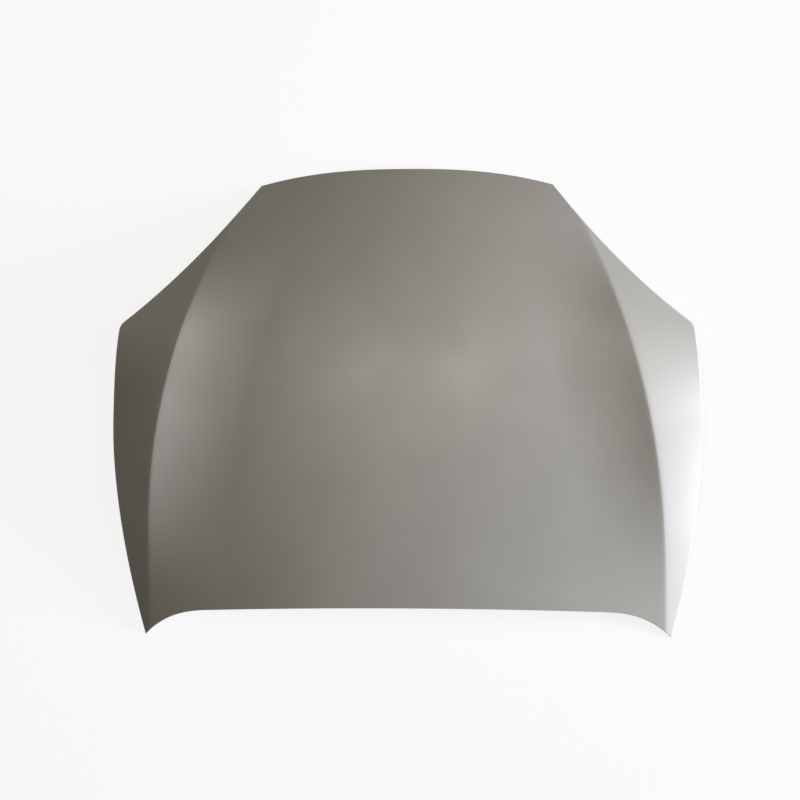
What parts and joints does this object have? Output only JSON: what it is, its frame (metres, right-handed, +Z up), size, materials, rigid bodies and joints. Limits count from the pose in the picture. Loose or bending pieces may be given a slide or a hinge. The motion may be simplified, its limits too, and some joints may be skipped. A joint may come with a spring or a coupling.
{
  "type": "car bonnet",
  "caption": "Crowned steel car bonnet in grey primer, with a crease along each side, a hemmed edge and a ribbed inner frame with striker and hinge pads.",
  "frame": {"origin": "on the floor, under the middle of the bonnet's outline, as it lies outer face up", "axes": "+X across the car, +Y from the windscreen edge to the nose, +Z up out of the outer face"},
  "size_m": [1.4486, 1.1452, 0.1188],
  "materials": {
    "skin_primer": "satin grey electrocoat primer",
    "frame_primer": "thin grey electrocoat primer over pressed steel",
    "zinc_plate": "zinc plated steel",
    "mastic": "dark anti-flutter mastic"
  },
  "bodies": {
    "root": {"outer_panel": "skin_primer", "inner_panel": "frame_primer", "hinge_reinforcement_left": "frame_primer", "hinge_nut_left_front": "zinc_plate", "hinge_nut_left_rear": "zinc_plate", "hinge_reinforcement_right": "frame_primer", "hinge_nut_right_front": "zinc_plate", "hinge_nut_right_rear": "zinc_plate", "latch_reinforcement": "frame_primer", "striker_plate": "zinc_plate", "striker_loop": "zinc_plate", "striker_bolt_left": "zinc_plate", "striker_nut_left": "zinc_plate", "striker_bolt_right": "zinc_plate", "striker_nut_right": "zinc_plate", "mastic_1_2": "mastic", "mastic_1_3": "mastic", "mastic_1_4": "mastic", "mastic_1_5": "mastic", "mastic_1_6": "mastic", "mastic_2_2": "mastic", "mastic_2_3": "mastic", "mastic_2_4": "mastic", "mastic_2_5": "mastic", "mastic_2_6": "mastic", "mastic_3_2": "mastic", "mastic_3_3": "mastic", "mastic_3_5": "mastic", "mastic_3_6": "mastic"}
  },
  "joints": []
}
